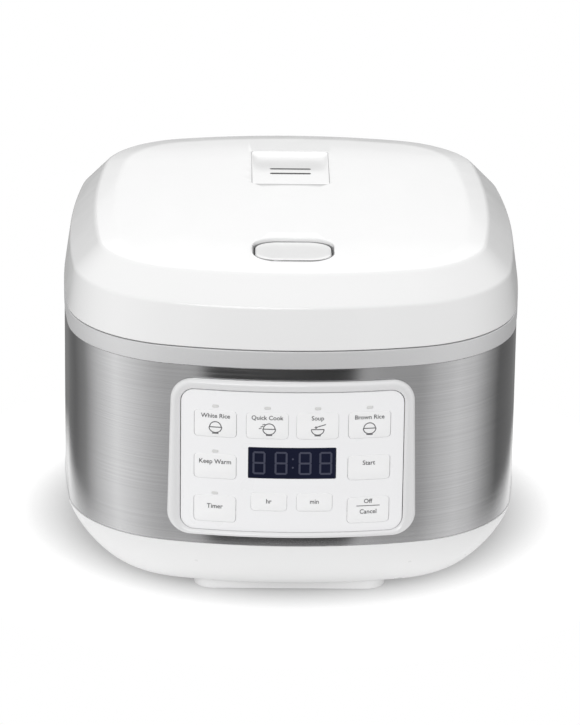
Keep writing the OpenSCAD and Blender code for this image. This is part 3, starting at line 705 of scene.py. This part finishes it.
# Columns and rows of the keys, and their sizes
OUTER_X = 43.9
INNER_X = 14.3
SMALL_X = 13.0
TOP_ROW = 116.0
MIDDLE_ROW = 90.0
LOW_ROW = 64.0
SMALL_ROW = 69.4
KEY_SIZE = (24.0, 16.0)
MIDDLE_KEY_SIZE = (24.0, 15.0)
SMALL_KEY_SIZE = (20.6, 11.0)
# Middle, width and height of each key
KEYS = {
    "rice": (-OUTER_X, TOP_ROW, *KEY_SIZE),
    "quick": (-INNER_X, TOP_ROW, *KEY_SIZE),
    "soup": (INNER_X, TOP_ROW, *KEY_SIZE),
    "brown": (OUTER_X, TOP_ROW, *KEY_SIZE),
    "warm": (-OUTER_X, MIDDLE_ROW, *MIDDLE_KEY_SIZE),
    "start": (OUTER_X, MIDDLE_ROW, *MIDDLE_KEY_SIZE),
    "timer": (-OUTER_X, LOW_ROW, *KEY_SIZE),
    "off": (OUTER_X, LOW_ROW, *KEY_SIZE),
    "hour": (-SMALL_X, SMALL_ROW, *SMALL_KEY_SIZE),
    "minute": (SMALL_X, SMALL_ROW, *SMALL_KEY_SIZE),
}
KEY_R = 2.3
KEY_EDGE = 0.3
KEY_GAP = 0.05
KEY_TRAVEL = 0.8
KEY_SWELL = 0.8

# Middle of each indicator lens: a row over the top keys, and two more down the left column
TOP_LENS_ROW = 126.6
LENSES = [(x, TOP_LENS_ROW) for x in (-OUTER_X, -INNER_X, INNER_X, OUTER_X)]
LENSES += [(-OUTER_X, z) for z in (99.2, 73.6)]
LENS_SIZE = (3.5, 1.6, 0.75)
LENS_HOLE = (3.7, 1.8, 0.85)

# The display's window and the lenses stand just before the panel
WINDOW_OUT = 2.1
DISPLAY_Z = 93.3
DISPLAY_SIZE = (50.3, 19.0, 0.7)
DISPLAY_HOLE = (50.4, 19.1, 0.8)
DIGIT_XS = (-18.9, -6.3, 7.4, 19.2)
COLON_X = 0.4
COLON_ZS = (DISPLAY_Z - 2.6, DISPLAY_Z + 2.6)
COLON_R = 0.6


def bent_sheet(bm, n_x, n_z, out):
    """A grid of points as large as the panel, out millimetres before the body's face."""
    return [[bm.verts.new(on_face(FACE_W * (i / n_x - 0.5), FACE_Z + FACE_H * (j / n_z - 0.5), out))
             for j in range(n_z + 1)] for i in range(n_x + 1)]


def panel_slab():
    """A rectangular slab bent to the front face."""
    n_x, n_z = 64, 40
    bm = bmesh.new()
    front = bent_sheet(bm, n_x, n_z, FACE_OUT)
    back = bent_sheet(bm, n_x, n_z, FACE_BACK)
    for i in range(n_x):
        for j in range(n_z):
            bm.faces.new((front[i][j], front[i + 1][j], front[i + 1][j + 1], front[i][j + 1]))
            bm.faces.new((back[i][j], back[i][j + 1], back[i + 1][j + 1], back[i + 1][j]))
    for i in range(n_x):
        bm.faces.new((front[i][0], back[i][0], back[i + 1][0], front[i + 1][0]))
        bm.faces.new((front[i][n_z], front[i + 1][n_z], back[i + 1][n_z], back[i][n_z]))
    for j in range(n_z):
        bm.faces.new((front[0][j], front[0][j + 1], back[0][j + 1], back[0][j]))
        bm.faces.new((front[n_x][j], back[n_x][j], back[n_x][j + 1], front[n_x][j + 1]))
    return bm


def key_hole(x, z, w, h):
    """A hole that a key slides in: an outer key also moves sideways, along its tilted line."""
    slide = KEY_TRAVEL * abs(x) / FACE_R
    return front_prism(rounded_rect(w + 2 * (KEY_GAP + slide), h + 2 * KEY_GAP, KEY_R, 6), z, x)


def panel_face():
    """The white plate, with a hole for every key, for every lens and for the display."""
    bm = carve(panel_slab(), [front_prism(rounded_rect(FACE_W, FACE_H, FACE_CORNER, 12), FACE_Z)],
               "INTERSECT")
    cutters = [key_hole(*key) for key in KEYS.values()]
    cutters += [front_prism(rounded_rect(*LENS_HOLE, 5), z, x) for x, z in LENSES]
    cutters.append(front_prism(rounded_rect(*DISPLAY_HOLE, 4), DISPLAY_Z))
    bm = carve(bm, cutters)
    piece = new_object("panel_plate", bm, mat["panel_white"], "body")
    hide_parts("panel_face")


def pillow(u, v):
    """Key top: level with the panel above, swelling below the middle and falling to its lower edge."""
    side = 1 - abs(u) ** 3
    down = (1 - v) / 2
    swell = math.sin(math.pi * min(1.0, max(0.0, down)) ** 2.2)
    return KEY_SWELL * side * swell


def panel_keys():
    """Each key top rides on its own body, so that it moves when it is pressed."""
    for name, (x, z, w, h) in KEYS.items():
        bm = plate_on_face(w, h, KEY_R, z, x, edge=KEY_EDGE, dome=pillow)
        piece = new_object(f"keytop_{name}", bm, mat["key_white"], f"key_{name}_body")
        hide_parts(f"key_{name}")


def display():
    bm = plate_on_face(*DISPLAY_SIZE, DISPLAY_Z, out=WINDOW_OUT, back=0.5)
    piece = new_object("display_glass", bm, mat["display_dark"], "body")
    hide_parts("display_window")


def lenses():
    bm = joined([plate_on_face(*LENS_SIZE, z, x, out=WINDOW_OUT, back=0.4, edge=0.2)
                 for x, z in LENSES])
    piece = new_object("lens_set", bm, mat["lens_clear"], "body")
    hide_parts("indicator_lenses")


class Ink:
    """Flat marks drawn on the front face: strokes are thin closed slabs, and words are sheets."""

    SUNK = 0.02
    STROKE_STEP = 1.5
    BOLDER = 0.012

    def __init__(self, out, thick, lift=None):
        """Marks stand thick above the level out; lift(x, z) adds the swell of a key."""
        self.bm = bmesh.new()
        self.out = out
        self.lift = lift
        self.thick = thick

    def point(self, x, z, height):
        extra = self.lift(x, z) if self.lift else 0.0
        return on_face(x, z, self.out + extra + height)

    def polygon(self, points):
        low = [self.bm.verts.new(self.point(x, z, -self.SUNK)) for x, z in points]
        top = [self.bm.verts.new(self.point(x, z, self.thick)) for x, z in points]
        self.bm.faces.new(top)
        self.bm.faces.new(list(reversed(low)))
        n = len(points)
        for i in range(n):
            k = (i + 1) % n
            self.bm.faces.new((low[i], low[k], top[k], top[i]))

    def stroke(self, points, width):
        """A line of even width through the points."""
        points = between(points, 1 + int(math.dist(points[0], points[1]) / self.STROKE_STEP))
        left, right = [], []
        n = len(points)
        for i in range(n):
            a = Vector(points[max(i - 1, 0)])
            b = Vector(points[min(i + 1, n - 1)])
            d = (b - a).normalized()
            side = Vector((-d.y, d.x)) * width / 2
            p = Vector(points[i])
            left.append(p + side)
            right.append(p - side)
        for i in range(n - 1):
            quad = (left[i], right[i], right[i + 1], left[i + 1])
            self.polygon([(q.x, q.y) for q in quad])

    def text(self, words, x, z, size):
        """Words in Blender's own font, centred at x, with their baseline at z."""
        curve = bpy.data.curves.new("temp", "FONT")
        curve.body = words
        curve.size = size
        curve.resolution_u = 3
        curve.align_x = "CENTER"
        curve.offset = size * self.BOLDER
        obj = bpy.data.objects.new("temp", curve)
        bpy.context.scene.collection.objects.link(obj)
        graph = bpy.context.evaluated_depsgraph_get()
        mesh = bpy.data.meshes.new_from_object(obj.evaluated_get(graph))
        xs = [v.co.x for v in mesh.vertices]
        middle = (max(xs) + min(xs)) / 2
        spots = [self.bm.verts.new(self.point(x + v.co.x - middle, z + v.co.y, self.thick))
                 for v in mesh.vertices]
        for p in mesh.polygons:
            try:
                self.bm.faces.new([spots[i] for i in p.vertices])
            except ValueError:
                continue
        bpy.data.objects.remove(obj)
        bpy.data.curves.remove(curve)
        bpy.data.meshes.remove(mesh)


def arc_points(cx, cz, r, a0, a1, n=12, squash=1.0):
    """Points of an arc between two angles in degrees; squash flattens it."""
    pts = []
    for i in range(n + 1):
        a = math.radians(a0 + (a1 - a0) * i / n)
        pts.append((cx + r * math.cos(a), cz + r * squash * math.sin(a)))
    return pts


def bowl_mark(pen, x, z, heap=True, steam=False, spoon=False):
    """A bowl with a foot; a heap of rice, steam lines or a spoon above it."""
    line = 0.5
    rim = z + 4.3
    pen.stroke([(x - 3.7, rim), (x + 3.7, rim)], line)
    pen.stroke(arc_points(x, rim, 3.6, 180, 360, 16, 0.92), line)
    pen.stroke([(x - 1.3, z + 0.45), (x + 1.3, z + 0.45)], line)
    for s in (-1, 1):
        pen.stroke([(x + s * 1.5, z + 1.0), (x + s * 1.5, z + 0.2)], line)
    if heap:
        pen.stroke(arc_points(x, rim, 3.3, 0, 180, 16, 0.95), line)
    if steam:
        for i, (dx, dz) in enumerate(((-3.9, 2.4), (-4.9, 1.2), (-5.9, 0.1))):
            pen.stroke([(x + dx, rim + dz), (x + dx + 1.6, rim + dz + 0.5)], line * 0.8)
    if spoon:
        pen.stroke([(x - 0.6, rim + 1.3), (x + 1.2, rim + 1.9), (x + 4.6, rim + 2.9)], line)
        pen.stroke(arc_points(x - 1.0, rim + 1.2, 0.55, 0, 350, 10, 0.7), line)


# Words on each key: text, height of its baseline and size of its letters
LEGENDS = {
    "rice": [("White Rice", 119.6, 3.6)],
    "quick": [("Quick Cook", 119.6, 3.6)],
    "soup": [("Soup", 119.6, 3.6)],
    "brown": [("Brown Rice", 119.6, 3.6)],
    "warm": [("Keep Warm", 91.8, 3.7)],
    "start": [("Start", 91.8, 3.7)],
    "timer": [("Timer", 64.5, 3.7)],
    "off": [("Off", 68.2, 3.6), ("Cancel", 62.0, 3.6)],
    "hour": [("hr", 68.8, 3.6)],
    "minute": [("min", 68.8, 3.6)],
}


# Marks below the words: shift to the right, and what stands on the bowl
BOWLS = {
    "rice": (0.0, {}),
    "quick": (1.0, {"steam": True}),
    "soup": (0.0, {"heap": False, "spoon": True}),
    "brown": (0.0, {}),
}
BOWL_Z = 109.9


def key_lift(x, z, w, h):
    """A function that gives the swell of a key at a point of the face."""
    return lambda px, pz: pillow(2 * (px - x) / w, 2 * (pz - z) / h)


def legends():
    """The words and marks on a key move with it."""
    for name, words in LEGENDS.items():
        x = KEYS[name][0]
        pen = Ink(out=FACE_OUT + 0.01, thick=0.06, lift=key_lift(*KEYS[name]))
        for text, base, size in words:
            pen.text(text, x, base, size)
        if name in BOWLS:
            shift, extras = BOWLS[name]
            bowl_mark(pen, x + shift, BOWL_Z, **extras)
        if name == "off":
            pen.stroke([(x - 6.7, 66.6), (x + 6.7, 66.6)], 0.4)
        new_object(f"legend_{name}", pen.bm, ink, f"key_{name}_body")


def digits():
    """Four unlit seven-segment digits and a colon behind the window."""
    pen = Ink(out=WINDOW_OUT, thick=0.02)
    height, width, bar, tip = 14.0, 7.4, 1.15, 0.35
    low = DISPLAY_Z - height / 2
    step = (height - bar) / 2
    for cx in DIGIT_XS:
        half = width / 2 - bar * 0.75
        for level in (0, 1, 2):
            z = low + bar / 2 + level * step
            pen.polygon([(cx - half - tip, z), (cx - half, z - bar / 2), (cx + half, z - bar / 2),
                         (cx + half + tip, z), (cx + half, z + bar / 2), (cx - half, z + bar / 2)])
        for side in (-1, 1):
            x = cx + side * (width - bar) / 2
            for level in (0, 1):
                z0 = low + bar * 0.8 + level * step
                z1 = z0 + step - bar * 0.6
                pen.polygon([(x, z0 - tip), (x + bar / 2, z0), (x + bar / 2, z1),
                             (x, z1 + tip), (x - bar / 2, z1), (x - bar / 2, z0)])
    for z in COLON_ZS:
        pen.polygon(arc_points(COLON_X, z, COLON_R, 0, 330, 11))
    new_object("display_digits", pen.bm, digit_off, "body")


# ---------- lid top ----------


def surface_patch(points, top, z_low, edge=0.8, rings_in=10):
    """A solid under the outline: top(x, y) gives its height, and its edge is rolled over."""
    cx = sum(p[0] for p in points) / len(points)
    cy = sum(p[1] for p in points) / len(points)
    reach = min(max(p[0] for p in points) - cx, max(p[1] for p in points) - cy)

    def ring(scale, drop, fixed=None):
        pts = []
        for px, py in points:
            x, y = cx + (px - cx) * scale, cy + (py - cy) * scale
            pts.append(place(x, y, fixed if fixed is not None else top(x, y) - drop))
        return pts

    k = 1 - edge / reach
    rings = [ring(0.2, 0, z_low), ring(1.0, 0, z_low), ring(1.0, edge)]
    for i in range(1, 6):
        a = math.pi / 2 * i / 5
        rings.append(ring(1 - (1 - k) * (1 - math.cos(a)), edge * (1 - math.sin(a))))
    rings += [ring(k * (1 - i / rings_in), 0) for i in range(1, rings_in)]
    rings.append(ring(0.02, 0))
    return loft_bmesh(rings)


BUTTON_SINK = 1.1
BUTTON_SLOPE = math.tan(math.radians(3.2))
# Share of the way across the trim, and height above its level
TRIM_SECTION = [(0.0, -4.0), (0.0, -0.3), (0.1, -0.15), (0.3, -0.03), (0.5, 0.0), (0.7, -0.03),
                (0.9, -0.15), (1.0, -0.3), (1.0, -4.0)]


def open_button():
    """The button's top leans forward a little."""
    low, high = box_mm("open_button")
    w, d = high[0] - low[0], high[1] - low[1]
    mid = middle_y(low, high)

    def top(x, y):
        return LID_TOP - BUTTON_SINK - (y - mid) * BUTTON_SLOPE

    outline = shifted(rounded_rect(w, d, 13.0, 14), 0, mid)
    bm = surface_patch(outline, top, LID_TOP - 10, edge=1.0)
    piece = new_object("button_cap", bm, mat["lid_plastic"], "button")
    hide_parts("open_button")


def button_trim():
    """A thin ring round the button, leaning as the button does."""
    button_low, button_high = box_mm("open_button")
    low, high = box_mm("button_trim")
    mid = middle_y(button_low, button_high)
    outer = rounded_rect(high[0] - low[0], high[1] - low[1], TRIM_R - TRIM_GAP, 14)
    inner = rounded_rect(button_high[0] - button_low[0] + 1.0,
                         button_high[1] - button_low[1] + 1.0, 13.5, 14)
    level = LID_TOP - BUTTON_SINK - 0.1
    rings = [[place(x, y + mid, level - y * BUTTON_SLOPE + dz)
              for x, y in between_outlines(outer, inner, share)] for share, dz in TRIM_SECTION]
    bm = loft_bmesh(rings, cyclic=True)
    piece = new_object("button_frame", bm, mat["trim_chrome"], "lid")
    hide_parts("button_trim")


VENT_DEPTH = 1.2
# Shares of the vent's length: level at the front, then sloping down, then up again at the rear
VENT_LEVEL = 0.3
VENT_REAR = 0.14
SLOT_SIZE = (25.0, 3.0)
SLOT_YS = (58.1, 48.2)


def vent_cap():
    """A cap that lies level with the lid, with a shallow recess and two steam slots through it."""
    low, high = box_mm("vent_cap")
    w, d = high[0] - low[0], high[1] - low[1]
    front = low[1] - CENTRE_Y

    def drop(y):
        """Depth of the recess, deepest near the rear."""
        s = min(max((y - front) / d, 0.0), 1.0)
        slope = min(max((s - VENT_LEVEL) / (1 - VENT_LEVEL - VENT_REAR), 0.0), (1 - s) / VENT_REAR)
        return VENT_DEPTH / 2 * (1 - math.cos(math.pi * slope))

    def top(x, y):
        side = 1 - abs(x / (w / 2)) ** 10
        return LID_TOP - 0.1 - drop(y) * side

    outline = dense(shifted(rounded_rect(w, d, 2.7, 6), 0, middle_y(low, high)))
    bm = surface_patch(outline, top, LID_TOP - 10, edge=0.5, rings_in=24)
    cutters = [prism(shifted(rounded_rect(*SLOT_SIZE, 1.4, 6), 0, y), LID_TOP - 12, LID_TOP + 4)
               for y in SLOT_YS]
    bm = carve(bm, cutters)
    # The slot walls get the second, dark material: painted shade in the slots
    for face in bm.faces:
        spot = face.calc_center_median()
        y = spot.y / MM - CENTRE_Y
        in_slot = (abs(spot.x / MM) < SLOT_SIZE[0] / 2 + 0.1
                   and min(abs(y - v) for v in SLOT_YS) < SLOT_SIZE[1] / 2 + 0.05)
        face.material_index = int(in_slot and abs(face.normal.z) < 0.5)
    piece = new_object("vent_cap_shell", bm, mat["lid_plastic"], "vent")
    piece.data.materials.append(slot_painted_shade)
    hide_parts("vent_cap")


# ---------- scene ----------

# Floor, in metres: its glow grows over one span of radii, from a painted shadow under the body to full
# glow, and it fades out over another
FLOOR_R = 0.25
FLOOR_SHADOW_TO_GLOW = (0.12, 0.18)
FLOOR_FADE = (0.16, FLOOR_R * 0.97)
# Brightness of the surroundings by bearing from the front, in degrees towards +X
BEARING_LIGHT = [(-180, 0.25), (-138, 0.18), (-118, 0.34), (-100, 0.80), (-77, 1.22), (-60, 1.00),
                 (-42, 0.74), (-28, 0.60), (-20.5, 0.60), (-19, 0.05), (15, 0.05), (17, 0.62),
                 (22, 0.50), (32, 0.50), (47, 0.74), (68, 0.95), (85, 0.82), (104, 0.42),
                 (120, 0.16), (180, 0.25)]
SKY_LIGHT = 0.94
# Heights of a direction, where 1 is straight up, over which the even sky takes over
SKY_BLEND = (0.12, 0.52)
GROUND_BLEND = (-0.60, -0.80)
# Name, place, target, width in metres and power in watts
LIGHTS = [
    ("key_light", (-0.4, -2.1, 1.1), (0, 0, 0.12), 1.2, 11.5),
    ("back_light", (0, 2.0, 1.45), (0, 0, 0.2), 1.5, 4),
    ("top_light", (0.2, -0.3, 1.9), (0, 0, 0.15), 1.6, 0.8),
]
LENS_MM = 213.97
CAMERA_RIGHT = Vector((0.99986, -0.01120, 0.01255))
CAMERA_UP = Vector((-0.00797, 0.34216, 0.93961))
CAMERA_SPOT = place(-38.06, -2442.90, 827.51 + SEAM)


def floor():
    """A pale round floor whose lower glow under the body is a painted shadow, and which fades out
    before its edge.
    """
    bm = bmesh.new()
    bmesh.ops.create_circle(bm, cap_ends=True, segments=96, radius=FLOOR_R)
    m = Nodes(bpy.data.materials.new("floor_paint"))
    space = m.add("ShaderNodeTexCoord").outputs["Object"]
    far = m.add("ShaderNodeVectorMath", {0: space}, operation="LENGTH").outputs["Value"]
    fade = m.span(far, 1.0, 0.0, *FLOOR_FADE)
    # Painted shadow: the glow is low close under the body and grows to full further out
    glow_and_painted_shadow = m.span(far, 0.12, 0.95, *FLOOR_SHADOW_TO_GLOW)
    m.set(Base_Color=m.tint(m.noise(space, 3.0), grey(0.33), grey(0.35)), Roughness=0.9, Alpha=fade,
          Emission_Color=(1, 1, 1, 1), Emission_Strength=glow_and_painted_shadow)
    mesh = bpy.data.meshes.new("floor")
    bm.to_mesh(mesh)
    bm.free()
    mesh.materials.append(m.owner)
    obj = bpy.data.objects.new("floor", mesh)
    bpy.context.scene.collection.objects.link(obj)


def bearing_ramp(w, share):
    """Brightness from BEARING_LIGHT at a share of the way round."""
    ramp = w.add("ShaderNodeValToRGB", {"Fac": share})
    elements = ramp.color_ramp.elements
    while len(elements) < len(BEARING_LIGHT):
        elements.new(0.5)
    for element, (degrees, value) in zip(elements, BEARING_LIGHT):
        element.position = (degrees + 180) / 360
        element.color = (*grey(value), 1)
    return ramp.outputs["Color"]


def world():
    """Light by bearing near the horizon, an even sky above it, and plain white behind the part."""
    w = Nodes(bpy.data.worlds.new("studio"))
    bpy.context.scene.world = w.owner
    w.tree.nodes.clear()
    look = w.add("ShaderNodeTexCoord").outputs["Generated"]
    split = w.add("ShaderNodeSeparateXYZ", {0: look}).outputs
    minus_y = w.math("MULTIPLY", split["Y"], -1.0)
    bearing = w.math("ARCTAN2", split["X"], minus_y)
    share = w.span(bearing, 0.0, 1.0, -math.pi, math.pi)
    above = w.smooth_step(split["Z"], *SKY_BLEND)
    below = w.smooth_step(split["Z"], *GROUND_BLEND)
    outside = w.math("MAXIMUM", above, below)
    light = w.add("ShaderNodeMix", {"Factor": outside, 6: bearing_ramp(w, share),
                                    7: (*grey(SKY_LIGHT), 1)}, data_type="RGBA").outputs[2]
    studio = w.add("ShaderNodeBackground", {"Color": light, "Strength": 1.0}).outputs[0]
    white = w.add("ShaderNodeBackground", {"Color": (1, 1, 1, 1)}).outputs[0]
    seen = w.add("ShaderNodeLightPath").outputs["Is Camera Ray"]
    join = w.add("ShaderNodeMixShader", {0: seen, 1: studio, 2: white}).outputs[0]
    w.add("ShaderNodeOutputWorld", {"Surface": join})


def area_light(name, location, target, size, power):
    data = bpy.data.lights.new(name, "AREA")
    data.shape = "DISK"
    data.size = size
    data.energy = power
    obj = bpy.data.objects.new(name, data)
    obj.location = location
    obj.rotation_euler = (Vector(target) - Vector(location)).to_track_quat("-Z", "Y").to_euler()
    bpy.context.scene.collection.objects.link(obj)


def camera():
    """The camera looks down 20 degrees from 2.6 m away, turned and rolled under a degree."""
    data = bpy.data.cameras.new("camera")
    data.sensor_width = 36.0
    data.lens = LENS_MM
    data.clip_start = 0.05
    obj = bpy.data.objects.new("camera", data)
    bpy.context.scene.collection.objects.link(obj)
    turn = Matrix((CAMERA_RIGHT, CAMERA_UP, CAMERA_RIGHT.cross(CAMERA_UP))).transposed()
    obj.matrix_world = Matrix.Translation(CAMERA_SPOT) @ turn.to_4x4()
    bpy.context.scene.camera = obj


dress_cad_nodes()
lid_cover()
top_ring()
steel_wrap()
bottom_case()
panel_bezel()
panel_face()
panel_keys()
display()
lenses()
legends()
digits()
open_button()
button_trim()
vent_cap()
floor()
world()
for light in LIGHTS:
    area_light(*light)
camera()
bpy.context.scene.view_settings.view_transform = "Standard"
